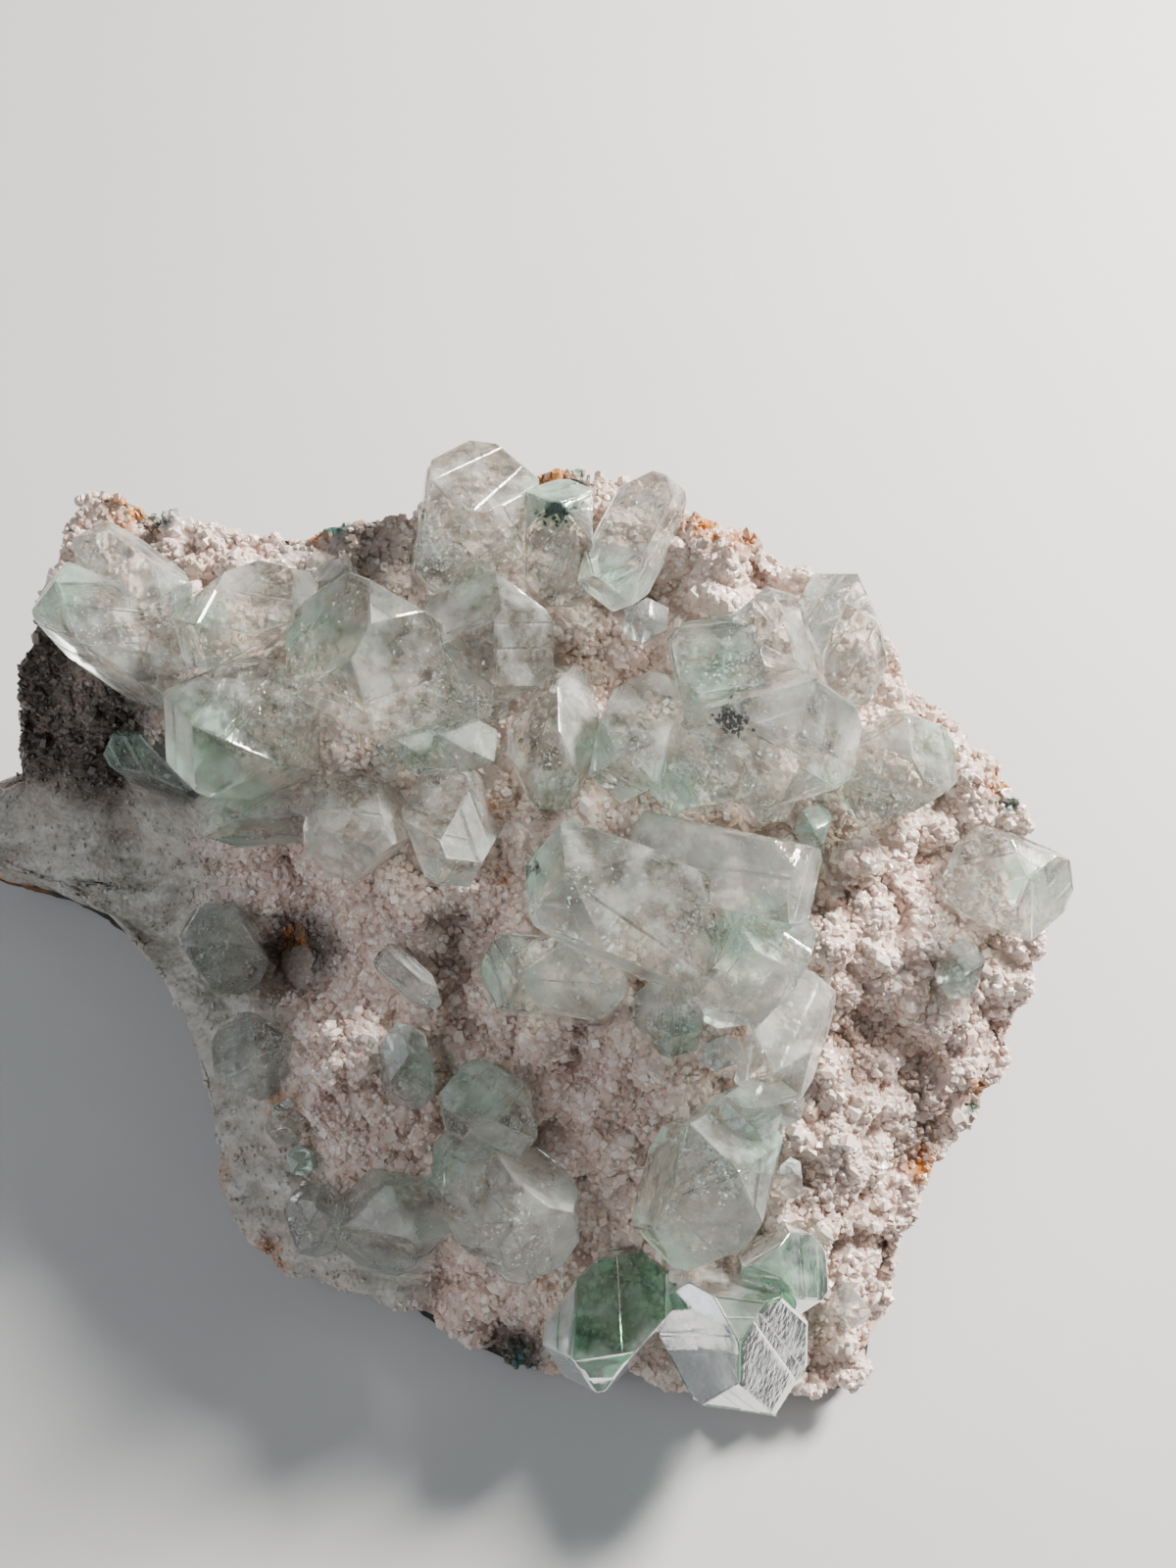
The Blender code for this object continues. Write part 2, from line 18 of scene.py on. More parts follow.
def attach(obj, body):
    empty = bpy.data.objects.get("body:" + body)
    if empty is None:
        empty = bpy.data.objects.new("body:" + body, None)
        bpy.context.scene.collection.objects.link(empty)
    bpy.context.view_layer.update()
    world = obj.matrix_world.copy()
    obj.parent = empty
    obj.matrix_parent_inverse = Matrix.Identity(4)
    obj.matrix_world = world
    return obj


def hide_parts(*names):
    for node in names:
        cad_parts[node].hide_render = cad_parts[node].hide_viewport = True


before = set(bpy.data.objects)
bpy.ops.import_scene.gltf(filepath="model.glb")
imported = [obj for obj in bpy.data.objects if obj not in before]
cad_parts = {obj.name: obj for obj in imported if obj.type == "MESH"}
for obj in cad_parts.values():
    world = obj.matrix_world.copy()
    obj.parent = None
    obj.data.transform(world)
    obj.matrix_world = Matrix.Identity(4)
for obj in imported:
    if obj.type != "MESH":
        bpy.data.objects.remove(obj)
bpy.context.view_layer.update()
MM = 0.001
RNG = np.random.default_rng(7)
noise.seed_set(7)  # noise_vector would otherwise differ from run to run

# The view, and the picture plane on which places are given: u to the right, v upwards
VIEW_ELEVATION = 66.0
VIEW_DISTANCE = 220.0
VIEW_HEIGHT = 192.0  # what the picture's height shows at AIM
SENSOR = 24.0
AIM = np.array((15.8, 17.6, 46.0))
MIDDLE = np.array((7.3, 4.6))

Rim = namedtuple("Rim", "u v z")
Hump = namedtuple("Hump", "u v radius height")
Spot = namedtuple("Spot", "u v radius strength", defaults=(1.0,))

# The crust's rim and relief, as the solids have them
RIM = [
    Rim(55, -22, 30), Rim(54, -7, 38), Rim(50, 1, 43), Rim(45, 8, 47), Rim(40, 14, 50),
    Rim(36, 19, 52), Rim(30, 24, 54), Rim(22, 29, 57), Rim(15, 32.5, 59), Rim(5, 37.5, 60),
    Rim(-4, 38, 60), Rim(-12, 37, 60), Rim(-21, 33, 58), Rim(-32, 30.5, 56), Rim(-43, 30.5, 55),
    Rim(-53, 33.5, 54), Rim(-60, 34.5, 54), Rim(-64, 31, 53), Rim(-66, 24, 50), Rim(-68, 17, 46),
    Rim(-69.5, 11, 38), Rim(-69, 5.5, 28), Rim(-69, 1.5, 18), Rim(-77, -1, 15), Rim(-79, -5, 14),
    Rim(-76, -9, 13), Rim(-66, -12, 14), Rim(-58, -17, 15), Rim(-52, -24, 15), Rim(-49, -30, 15),
    Rim(-47, -38, 14), Rim(-45, -48, 11), Rim(-42, -56, 9), Rim(-36, -60, 7.5), Rim(-28, -62.5, 7),
    Rim(-18, -66.5, 6), Rim(-8, -71, 5.5), Rim(4, -72.5, 5), Rim(14, -75, 5), Rim(25, -75, 5.5),
    Rim(33.5, -73, 6), Rim(36, -65, 9), Rim(39, -56, 13), Rim(41, -48, 16), Rim(47, -41, 19),
    Rim(52, -32, 24),
]  # fmt: skip
RELIEF = [
    Rim(-56, 26, 53), Rim(-44, 22, 54), Rim(-30, 20, 54), Rim(-14, 24, 56), Rim(2, 28, 58),
    Rim(7, 18, 53), Rim(20, 22, 56), Rim(32, 12, 51), Rim(44, -2, 44), Rim(48, -14, 38),
    Rim(-50, 8, 48), Rim(-36, 4, 50), Rim(-22, 6, 50), Rim(-4, 6, 48), Rim(14, 8, 51),
    Rim(24, 2, 50), Rim(36, -4, 44), Rim(-60, 12, 46), Rim(-58, 4, 34), Rim(-56, -4, 20),
    Rim(-50, -8, 22), Rim(-42, -12, 28), Rim(-32, -10, 38), Rim(-20, -8, 43), Rim(-6, -8, 46),
    Rim(10, -14, 46), Rim(24, -16, 43), Rim(38, -20, 38), Rim(46, -30, 29), Rim(-48, -20, 18),
    Rim(-36, -20, 21), Rim(-30, -32, 31), Rim(-20, -24, 34), Rim(-8, -24, 40), Rim(8, -30, 38),
    Rim(24, -34, 34), Rim(36, -34, 32), Rim(-42, -38, 18), Rim(-30, -42, 24), Rim(-16, -38, 28),
    Rim(0, -38, 31), Rim(16, -46, 27), Rim(30, -48, 24), Rim(-36, -52, 13), Rim(-22, -52, 17),
    Rim(-8, -52, 20), Rim(6, -56, 17), Rim(22, -62, 15), Rim(32, -60, 15), Rim(-16, -61, 11),
    Rim(2, -66, 9), Rim(16, -70, 8),
]  # fmt: skip
HUMPS = [
    Hump(-35.5, -21.0, 4.5, -7.0), Hump(-30.5, -32.5, 5.0, 5.0), Hump(-22.0, -15.0, 4.5, 2.5),
    Hump(-14.0, -19.0, 4.5, -4.0), Hump(-8.5, -30.0, 5.0, 3.0), Hump(4.0, -33.5, 5.5, 3.0),
    Hump(6.0, 15.0, 5.0, -3.5), Hump(14.0, 27.0, 6.0, 2.0), Hump(-8.0, -1.0, 5.0, 2.5),
    Hump(34.0, -14.0, 5.5, 2.5), Hump(31.0, -25.0, 5.5, 2.0), Hump(41.0, -36.5, 4.0, -5.0),
    Hump(38.5, -44.0, 3.5, -4.0), Hump(36.0, -28.0, 3.5, -3.0), Hump(29.0, -52.0, 5.0, 2.0),
    Hump(-14.0, -62.0, 4.0, 2.0), Hump(-30.0, 3.5, 4.0, 2.0), Hump(-38.0, -44.0, 4.0, -3.0),
    Hump(44.0, 3.0, 5.0, 1.5), Hump(-2.0, -57.0, 4.0, -2.0),
]  # fmt: skip
STIFFNESS = 6.0
LUMP_SIZE = 12.0
LUMP_HEIGHT = 2.8
CRUST_THICKNESS = 9.0
THIN_SHARE = 0.55
EDGE_THICKNESS = 5.0
EDGE_SCALE = 0.97
UNDER_SCALE = 0.94
BED_GAP = 0.45
ROCK_SIDE = [(0.975, 0.88), (0.94, 0.62), (0.88, 0.36), (0.82, 0.14), (0.77, 0.0)]
ROCK_WOBBLE = 0.05
WOBBLE_SIZE = 14.0

# The druse's fine surface
AROUND = 384
RINGS = 78
EDGE_ROWS = 6
KNOB_SIZE = 5.4
KNOB_HEIGHT = 2.3
SMALL_KNOB_SIZE = 2.1
SMALL_KNOB_HEIGHT = 0.8
GRAINS = 26000
GRAIN_RADIUS = 0.47
GRAIN_SPACING = 0.54

# Where the crust isn't the common pink: pale and glassy, darkened by painted shade, rusty or teal
PALE_SPOTS = [
    Spot(-74, -4, 9), Spot(-64, -8, 10), Spot(-55, -13, 10), Spot(-49, -21, 9), Spot(-46, -30, 9),
    Spot(-43, -40, 7), Spot(-40, -50, 7), Spot(-33, -57, 6), Spot(-25, -60, 6), Spot(-52, -4, 6),
    Spot(-33, 27, 5, 0.5), Spot(-58, 31, 5, 0.4),
]  # fmt: skip
# Spots of painted shade: the shaded left wall, the deep pit, the recess at the back, the grooves on the
# right and the contact under the front edge
SHADE_SPOTS = [
    Spot(-68, 14, 8), Spot(-66, 6, 8), Spot(-60, 3, 7), Spot(-58, 9, 6), Spot(-50, 2, 5),
    Spot(-35, -20, 5, 0.9), Spot(-27, 30, 6, 0.7), Spot(-20, 28, 4, 0.6), Spot(-17, -19, 5, 0.4),
    Spot(-9, -70, 4, 0.9), Spot(41, -37, 3, 0.6), Spot(40, -44, 3, 0.5),
]  # fmt: skip
RUST_SPOTS = [
    Spot(-56, 33.5, 3), Spot(-33, 31, 2.2), Spot(-4, 37.8, 3), Spot(14.5, 32, 3), Spot(19, 30, 2),
    Spot(39.5, 15, 2), Spot(51, 0, 2.5), Spot(48, -38, 2), Spot(41, -47, 2.5), Spot(-40, -58.5, 3),
    Spot(-37.5, -39.5, 2.2), Spot(-36, -19, 1.8), Spot(-12, -3, 1.6, 0.8), Spot(-10, -11, 1.8, 0.8),
    Spot(-46, -48, 2.2, 0.7), Spot(-5, -61, 1.6, 0.7),
]  # fmt: skip
TEAL_SPOTS = [
    Spot(-52, 33.5, 2.4), Spot(-31, 31.5, 1.8), Spot(-1, 37.5, 1.6), Spot(51.5, -2, 1.6),
    Spot(48, -40, 2), Spot(-35, -22, 1.6), Spot(-8, -70.5, 2),
]  # fmt: skip

# Where crystals are greenest, and where they hold dark specks
GREEN_SPOTS = [
    Spot(-32.5, 17.5, 4.5, 1.0), Spot(-47.5, 5, 5, 1.0), Spot(-43, -1.5, 4, 0.7),
    Spot(-65, 24, 4, 0.9), Spot(-47.5, 21, 3, 1.0), Spot(-4, 35.5, 3.5, 1.0), Spot(3, 25, 2.5, 0.8),
    Spot(1, 5, 3, 0.9), Spot(10, -1, 4, 0.8), Spot(15, 14, 4.5, 0.8), Spot(30, 0, 3, 0.9),
    Spot(43, 6, 4, 0.7), Spot(56, -12, 3.5, 0.9), Spot(29, -5, 3, 0.8), Spot(-6, -11, 3, 0.9),
    Spot(18, -19, 3.5, 1.0), Spot(22, -17, 3.5, 0.8), Spot(-11, -23, 3, 0.9), Spot(12, -31, 2.5, 0.9),
    Spot(-13, -37, 4, 0.8), Spot(-18, -47, 3, 0.9), Spot(-34, -45, 3.5, 0.7), Spot(-24, -49, 3, 0.8),
    Spot(10, -57, 3.5, 0.9), Spot(22, -44, 3.5, 0.8), Spot(25, -58, 4, 0.7), Spot(-2, -68, 4, 0.9),
    Spot(8, -62, 3, 0.8), Spot(-56, 5, 3.5, 0.9), Spot(-4, -1, 3, 0.7), Spot(-20, 4, 3, 0.7),
    Spot(-14, 24, 3, 0.7), Spot(-20, -35, 3, 0.9), Spot(45, -24, 2, 0.8),
]  # fmt: skip
DARK_SPECKS = [Spot(18, 8, 2.2), Spot(-3.6, 33.6, 1.8), Spot(-7, -10.5, 1.6)]

# The crystals' fine surface
BEVEL = 0.16
TERRACE_AREA = 11.0  # a face larger than this has growth steps
TERRACE_STEP = 0.16
LONGEST_EDGE = 1.3
WAVE_SIZE = 4.0
WAVE_HEIGHT = 0.035
FLAKES_IN_VEIL = 36
VEIL_AREA = 30.0  # the surface that has one veil of flakes below it
CRYSTAL_NODES = sorted(set(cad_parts) - {"druse_crust", "basalt_base"})


# The picture plane

ELEVATION = math.radians(VIEW_ELEVATION)
TO_RIGHT = np.array((1.0, 0.0, 0.0))
TO_TOP = np.array((0.0, math.sin(ELEVATION), math.cos(ELEVATION)))
TO_EYE = np.array((0.0, -math.cos(ELEVATION), math.sin(ELEVATION)))
EYE = AIM + VIEW_DISTANCE * TO_EYE


def seen_at(u, v, z):
    """The point at height z that shows at u, v on the picture plane."""
    along = AIM + u * TO_RIGHT + v * TO_TOP - EYE
    return EYE + along * ((z - EYE[2]) / along[2])


def on_picture(points):
    """The u, v at which points show, as rows."""
    away = points - EYE
    scale = VIEW_DISTANCE / -(away @ TO_EYE)
    return np.stack([(away @ TO_RIGHT) * scale, (away @ TO_TOP) * scale], axis=1)


def near_spots(points, spots):
    """From 0 to 1, how much each point lies in one of the spots."""
    places = on_picture(points)
    most = np.zeros(len(points))
    for spot in spots:
        apart = np.linalg.norm(places - (spot.u, spot.v), axis=1) / spot.radius
        most = np.maximum(most, spot.strength * np.exp(-(apart**4)))
    return most


# The relief, as in the solids


def plate_kernel(distance):
    return np.where(distance > 0, distance**2 * np.log(np.maximum(distance, 1e-9)), 0)


def fit_relief(points):
    """The weights of a thin-plate sheet through points, which are rows of x, y, z."""
    count = len(points)
    plan = points[:, :2]
    apart = np.linalg.norm(plan[:, None] - plan[None], axis=2)
    matrix = np.zeros((count + 3, count + 3))
    matrix[:count, :count] = plate_kernel(apart) + STIFFNESS * np.eye(count)
    matrix[:count, count] = 1
    matrix[:count, count + 1 :] = plan
    matrix[count:, :count] = matrix[:count, count:].T
    heights = np.concatenate([points[:, 2], np.zeros(3)])
    return plan, np.linalg.solve(matrix, heights)


SHEET = fit_relief(np.array([seen_at(*place) for place in RIM + RELIEF]))


def relief(places):
    """The heights of the smooth sheet at places, which are rows of x, y."""
    plan, weights = SHEET
    distance = np.linalg.norm(plan[None] - places[:, None], axis=2)
    bend = plate_kernel(distance) @ weights[:-3]
    return bend + weights[-3] + places @ weights[-2:]


def on_relief(u, v):
    """The point of the sheet that shows at u, v."""
    low, high = 0.0, 75.0
    for _ in range(24):
        z = (low + high) / 2
        point = seen_at(u, v, z)
        if point[2] > relief(point[None, :2])[0]:
            high = z
        else:
            low = z
    return seen_at(u, v, (low + high) / 2)


HUMP_PLACES = [(on_relief(hump.u, hump.v)[:2], hump.radius, hump.height) for hump in HUMPS]


def lumps(places):
    """How far the crust's rounded lumps stand over the sheet."""
    grown = np.zeros(len(places))
    for k, (x, y) in enumerate(places):
        place = Vector((x, y, 0)) / LUMP_SIZE
        near = noise.voronoi(place, distance_metric="DISTANCE")[0][0]
        grown[k] = 0.9 - 1.5 * near + 0.45 * noise.noise(place * 2.3) + 0.7 * noise.noise(place * 0.45)
    grown *= LUMP_HEIGHT
    for middle, radius, height in HUMP_PLACES:
        apart = np.linalg.norm(places - middle, axis=1) / radius
        grown += height * np.exp(-(apart**2))
    return grown


def crust_top(places):
    return np.maximum(relief(places) + lumps(places), 3.0)


def crust_under(places):
    height = relief(places)
    return height - np.minimum(CRUST_THICKNESS, THIN_SHARE * height)


def crust_edge(places):
    height = relief(places)
    return height - np.minimum(EDGE_THICKNESS, 0.5 * height)


def rim_curve(count):
    """count points spaced evenly along a smooth loop through RIM, as places from MIDDLE."""
    corners = np.array([seen_at(*place)[:2] for place in RIM])
    loop = []
    for i in range(len(corners)):
        before, start, end, after = (corners[(i + k - 1) % len(corners)] for k in range(4))
        for step in range(12):
            t = step / 12
            loop.append(
                start
                + (end - before) * (t / 2)
                + (before - 2.5 * start + 2 * end - after / 2) * t**2
                + (1.5 * start - before / 2 - 1.5 * end + after / 2) * t**3
            )
    loop = np.array(loop + loop[:1])
    run = np.concatenate([[0], np.cumsum(np.linalg.norm(np.diff(loop, axis=0), axis=1))])
    marks = np.arange(count) * run[-1] / count
    return np.stack([np.interp(marks, run, loop[:, i]) for i in range(2)], axis=1) - MIDDLE


RIM_POINTS = rim_curve(AROUND)


# Meshes from rows of points and triangles


def make_piece(name, points, triangles, material, smooth=False, replaces=()):
    """A piece of the object from points in mm, which rides on the only body."""
    mesh = bpy.data.meshes.new(name)
    mesh.from_pydata((points * MM).tolist(), [], triangles.tolist())
    mesh.materials.append(material)
    mesh.polygons.foreach_set("use_smooth", np.full(len(mesh.polygons), smooth))
    found = bpy.data.objects.new(name, mesh)
    bpy.context.scene.collection.objects.link(found)
    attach(found, "root")
    if replaces:
        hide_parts(*replaces)
    return found


def set_values(piece, name, values, domain="POINT"):
    """Keeps a number for each point or face of a piece, for its material."""
    layer = piece.data.attributes.new(name, "FLOAT", domain)
    layer.data.foreach_set("value", np.asarray(values, dtype=np.float32))


def join_rings(outer, inner):
    """Triangles between two rings of point numbers, the outer ring with 1 or 2 times as many."""
    count = len(inner)
    fold = len(outer) // count
    triangles = []
    for k in range(count):
        after = (k + 1) % count
        arc = [outer[(fold * k + s) % len(outer)] for s in range(fold + 1)]
        if fold == 1:
            triangles += [(arc[0], arc[1], inner[after]), (arc[0], inner[after], inner[k])]
        else:
            triangles += [
                (arc[0], arc[1], inner[k]),
                (inner[k], arc[1], inner[after]),
                (arc[1], arc[2], inner[after]),
            ]
    return triangles


def fan(ring, hub):
    return [(point, ring[(k + 1) % len(ring)], hub) for k, point in enumerate(ring)]


def turned(triangles):
    return [tuple(reversed(triangle)) for triangle in triangles]


def point_normals(points, triangles):
    corners = points[triangles]
    across = np.cross(corners[:, 1] - corners[:, 0], corners[:, 2] - corners[:, 0])
    normals = np.zeros_like(points)
    for k in range(3):
        np.add.at(normals, triangles[:, k], across)
    return normals / np.maximum(np.linalg.norm(normals, axis=1, keepdims=True), 1e-9)


class Shell:
    """A closed mesh built ring by ring."""

    def __init__(self):
        self.points = []
        self.triangles = []

    def ring(self, points):
        start = len(self.points)
        self.points += points.tolist()
        return list(range(start, start + len(points)))

    def arrays(self):
        return np.array(self.points), np.array(self.triangles)


def raised(plan, heights):
    return np.concatenate([plan, heights[:, None]], axis=1)


# The druse


def knobs(points):
    """The botryoidal surface, from -1 in its creases to 1 on its knobs, and its height."""
    large, small = np.zeros(len(points)), np.zeros(len(points))
    for k, point in enumerate(points):
        place = Vector(point)
        bend = noise.noise_vector(place / 6.0) * 0.4
        near = noise.voronoi(place / KNOB_SIZE + bend, distance_metric="DISTANCE")[0]
        small_near = noise.voronoi(place / SMALL_KNOB_SIZE + bend, distance_metric="DISTANCE")[0]
        large[k] = 1 - 2.2 * near[0] ** 1.6
        small[k] = 1 - 2.0 * small_near[0] ** 1.4
    smooth = 1 - 0.75 * near_spots(points, PALE_SPOTS)
    height = KNOB_HEIGHT * (large - 0.45) + SMALL_KNOB_HEIGHT * (small - 0.3)
    return np.clip(0.75 * large + 0.25 * small, -1, 1), height * smooth


def druse_shell():
    """The crust's points and triangles, and how many points lie on its display side."""
    shell = Shell()
    top = []
    for k in range(RINGS):
        share = math.sqrt(1 - k / RINGS)
        fold = 1 if share > 0.5 else 2 if share > 0.25 else 4
        plan = MIDDLE + RIM_POINTS[::fold] * share
        top.append(shell.ring(raised(plan, crust_top(plan))))
    for outer, inner in zip(top, top[1:]):
        shell.triangles += join_rings(outer, inner)
    hub = shell.ring(raised(MIDDLE[None], crust_top(MIDDLE[None])))[0]
    shell.triangles += fan(top[-1], hub)
    display = len(shell.points)
    rim = MIDDLE + RIM_POINTS
    high, low = crust_top(rim), crust_edge(rim)
    last = top[0]
    for row in range(1, EDGE_ROWS + 1):
        share = row / EDGE_ROWS
        bulge = 1 + 0.012 * math.sin(math.pi * share)
        scale = (1 + (EDGE_SCALE - 1) * share) * bulge
        plan = MIDDLE + RIM_POINTS * scale
        ring = shell.ring(raised(plan, high + (low - high) * share))
        shell.triangles += turned(join_rings(last, ring))
        last = ring
    for share in (0.9, 0.5):
        plan = MIDDLE + RIM_POINTS * share
        ring = shell.ring(raised(MIDDLE + RIM_POINTS * share * UNDER_SCALE, crust_under(plan)))
        shell.triangles += turned(join_rings(last, ring))
        last = ring
    under = shell.ring(raised(MIDDLE[None], crust_under(MIDDLE[None])))[0]
    shell.triangles += turned(fan(last, under))
    points, triangles = shell.arrays()
    return points, triangles, display


def paint_crust(piece, points, shade, raised_up):
    set_values(piece, "shade", shade)
    # crease runs from 0 on the knobs to 1 in the deepest creases, where the material paints shade
    set_values(piece, "crease", np.clip(0.5 - 0.5 * raised_up, 0, 1))
    set_values(piece, "pale", near_spots(points, PALE_SPOTS))
    # dark marks the spots of painted shade, which the material darkens almost to black
    set_values(piece, "dark", near_spots(points, SHADE_SPOTS))
    set_values(piece, "rust", near_spots(points, RUST_SPOTS))
    set_values(piece, "teal", near_spots(points, TEAL_SPOTS))


def make_druse(material):
    """The crust's own surface. Returns its points and triangles on the display side."""
    points, triangles, display = druse_shell()
    normals = point_normals(points, triangles)
    form, rough = knobs(points)
    reach = display + EDGE_ROWS * AROUND
    rough[:AROUND] = np.minimum(rough[:AROUND], 0.3)
    rough[display:reach] = np.minimum(rough[display:reach], 0.3)
    points[:reach] += normals[:reach] * rough[:reach, None]
    piece = make_piece("druse", points, triangles, material, True, ["druse_crust"])
    paint_crust(piece, points, np.full(len(points), 0.4), form)
    covered = np.all(triangles < display + 2 * AROUND, axis=1)
    return points, triangles[covered]


# The grains are small crystals of four forms, each a list of points and triangles round the origin


def around_axis(count, radius, height):
    return [
        (radius * math.cos(math.tau * k / count), radius * math.sin(math.tau * k / count), height)
        for k in range(count)
    ]


def cap(ring, end, points):
    """Triangles over a ring, up to an end point or, where there is none, flat across."""
    if end is None:
        return [(ring[0], ring[k], ring[k + 1]) for k in range(1, len(ring) - 1)]
    points.append(end)
    return fan(ring, len(points) - 1)


def small_crystal(sides, foot, head, tip=None, root=None):
    """A form with a ring at its foot and one at its head, each a radius and a height."""
    points = around_axis(sides, *foot) + around_axis(sides, *head)
    lower, upper = range(sides), range(sides, 2 * sides)
    triangles = join_rings(lower, upper) + cap(upper, tip, points)
    triangles += turned(cap(lower, root, points))
    return np.array(points), np.array(triangles)


BLOCK = small_crystal(4, (1.2, -0.9), (1.15, 0.75))
POINTED = small_crystal(4, (1.1, -0.9), (1.1, 0.35), tip=(0, 0, 1.25))
SIX_SIDED = small_crystal(6, (0.9, -0.9), (0.85, 0.4), tip=(0.1, 0, 1.3))
ROUNDED = small_crystal(5, (0.85, -0.55), (0.95, 0.45), tip=(0, 0, 1.05), root=(0, 0, -1))
GRAIN_FORMS = [(BLOCK, 0.15), (POINTED, 0.2), (SIX_SIDED, 0.3), (ROUNDED, 0.35)]


def scatter(points, triangles, count, spacing):
    """Places and directions spread over triangles, no two nearer than spacing."""
    corners = points[triangles]
    across = np.cross(corners[:, 1] - corners[:, 0], corners[:, 2] - corners[:, 0])
    areas = np.linalg.norm(across, axis=1)
    chosen = RNG.choice(len(areas), size=3 * count, p=areas / areas.sum())
    a, b = RNG.random(3 * count), RNG.random(3 * count)
    fold = a + b > 1
    a[fold], b[fold] = 1 - a[fold], 1 - b[fold]
    corner = corners[chosen]
    places = corner[:, 0] + a[:, None] * (corner[:, 1] - corner[:, 0])
    places += b[:, None] * (corner[:, 2] - corner[:, 0])
    normals = across[chosen] / areas[chosen][:, None]
    cells = {}
    kept = []
    for k, place in enumerate(places):
        cell = tuple((place // spacing).astype(int))
        if cell not in cells:
            cells[cell] = k
            kept.append(k)
        if len(kept) == count:
            break
    return places[kept], normals[kept]


def frames_along(normals, tilt):
    """A turn for each grain that sets its axis along a normal, give or take a tilt."""
    axis = normals + RNG.normal(0, tilt, normals.shape)
    axis /= np.linalg.norm(axis, axis=1, keepdims=True)
    side = np.cross(axis, RNG.normal(0, 1, normals.shape))
    side /= np.linalg.norm(side, axis=1, keepdims=True)
    return np.stack([side, np.cross(axis, side), axis], axis=2)


def strew(form, places, turns, sizes, unevenness):
    """Copies of a form as one mesh's points and triangles."""
    shape, faces = form
    local = shape[None] * sizes[:, None, :]
    local = local * (1 + RNG.normal(0, unevenness, (len(places), len(shape), 1)))
    points = np.einsum("kij,kvj->kvi", turns, local) + places[:, None]
    starts = np.arange(len(places))[:, None, None] * len(shape)
    return points.reshape(-1, 3), (faces[None] + starts).reshape(-1, 3)


def make_grains(material, surface):
    """The sugary layer of grains on the druse, in one piece for each form."""
    points, triangles = surface
    places, normals = scatter(points, triangles, GRAINS, GRAIN_SPACING)
    bare = 0.8 * near_spots(places, PALE_SPOTS) + 0.35 * near_spots(places, SHADE_SPOTS)
    kept = RNG.random(len(places)) > bare
    places, normals = places[kept], normals[kept]
    # the knob form under each grain, so that grains lying in the creases get the painted crease shade
    form_here = knobs(places - normals * 0.5)[0]
    order = RNG.permutation(len(places))
    start = 0
    for number, (form, share) in enumerate(GRAIN_FORMS, 1):
        count = int(share * len(order))
        mine = order[start : start + count]
        start += count
        radius = GRAIN_RADIUS * np.exp(RNG.normal(0, 0.22, count))
        smooth = near_spots(places[mine], PALE_SPOTS)
        radius *= 1 - 0.45 * smooth
        sizes = radius[:, None] * np.exp(RNG.normal(0, 0.14, (count, 3)))
        lifted = places[mine] + normals[mine] * (radius * RNG.uniform(-0.35, 0.25, count))[:, None]
        turns = frames_along(normals[mine], 0.45)
        grown, faces = strew(form, lifted, turns, sizes, 0.07)
        piece = make_piece(f"druse_grains_{number}", grown, faces, material)
        copies = len(form[0])
        paint_crust(piece, grown, np.repeat(RNG.random(count), copies), np.repeat(form_here[mine], copies))


# The basalt


def rock_wobble(plan, share):
    wobble = [noise.noise(Vector((x, y, 90 * share)) / WOBBLE_SIZE) for x, y in plan]
    return 1 + ROCK_WOBBLE * np.array(wobble)


def broken(points):
    """How far the rock's face lies in or out: flat chips, small hollows and grit."""
    cut = np.zeros(len(points))
    for k, point in enumerate(points):
        place = Vector(point)
        chips = noise.voronoi(place / 6.5, distance_metric="DISTANCE")[0]
        hollow = noise.voronoi(place / 2.6, distance_metric="DISTANCE")[0][0]
        cut[k] = 0.9 * (chips[1] - chips[0]) - 0.5
        cut[k] -= 0.7 * max(0.0, 0.42 - hollow) / 0.42
        cut[k] += 0.5 * noise.noise(place / 1.4) + 0.6 * noise.noise(place / 9.0)
    return cut


def make_basalt(material):
    """The rock below the crust, down to its flat foot."""
    shell = Shell()
    rim = MIDDLE + RIM_POINTS
    edge = crust_edge(rim) - BED_GAP
    top = shell.ring(raised(MIDDLE + RIM_POINTS * EDGE_SCALE, edge))
    last = top
    levels = [(EDGE_SCALE, 1.0)] + ROCK_SIDE
    shares = np.array([share for _, share in levels])[::-1]
    scales = np.array([scale for scale, _ in levels])[::-1]
    rows = 44
    for row in range(1, rows + 1):
        share = 1 - row / rows
        scale = np.interp(share, shares, scales)
        plan = MIDDLE + RIM_POINTS * scale * rock_wobble(RIM_POINTS, share)[:, None]
        ring = shell.ring(raised(plan, edge * share))
        shell.triangles += turned(join_rings(last, ring))
        last = ring
    side = len(shell.points)
    foot = last
    hub = shell.ring(np.array([[*MIDDLE, 0.0]]))[0]
    shell.triangles += turned(fan(foot, hub))
    bed = top
    for share in (0.9, 0.6, 0.3):
        plan = MIDDLE + RIM_POINTS * share
        inner = raised(MIDDLE + RIM_POINTS * share * UNDER_SCALE, crust_under(plan) - BED_GAP)
        ring = shell.ring(inner)
        shell.triangles += join_rings(bed, ring)
        bed = ring
    hub = shell.ring(raised(MIDDLE[None], crust_under(MIDDLE[None]) - BED_GAP))[0]
    shell.triangles += fan(bed, hub)
    points, triangles = shell.arrays()
    normals = point_normals(points, triangles)
    normals[:, 2] *= 0.4
    depth = np.zeros(len(points))
    depth[:side] = broken(points[:side])
    fade = np.clip(points[:, 2] / 2.0, 0, 1)
    points += normals * (depth * fade)[:, None]
    points[:, 2] = np.maximum(points[:, 2], 0.0)
    piece = make_piece("basalt", points, triangles, material, True, ["basalt_base"])
    upper = np.clip(1 - (crust_edge(points[:, :2]) - points[:, 2]) / 7.0, 0, 1)
    set_values(piece, "upper", upper)


# The crystals, grown out from the frame's own solids


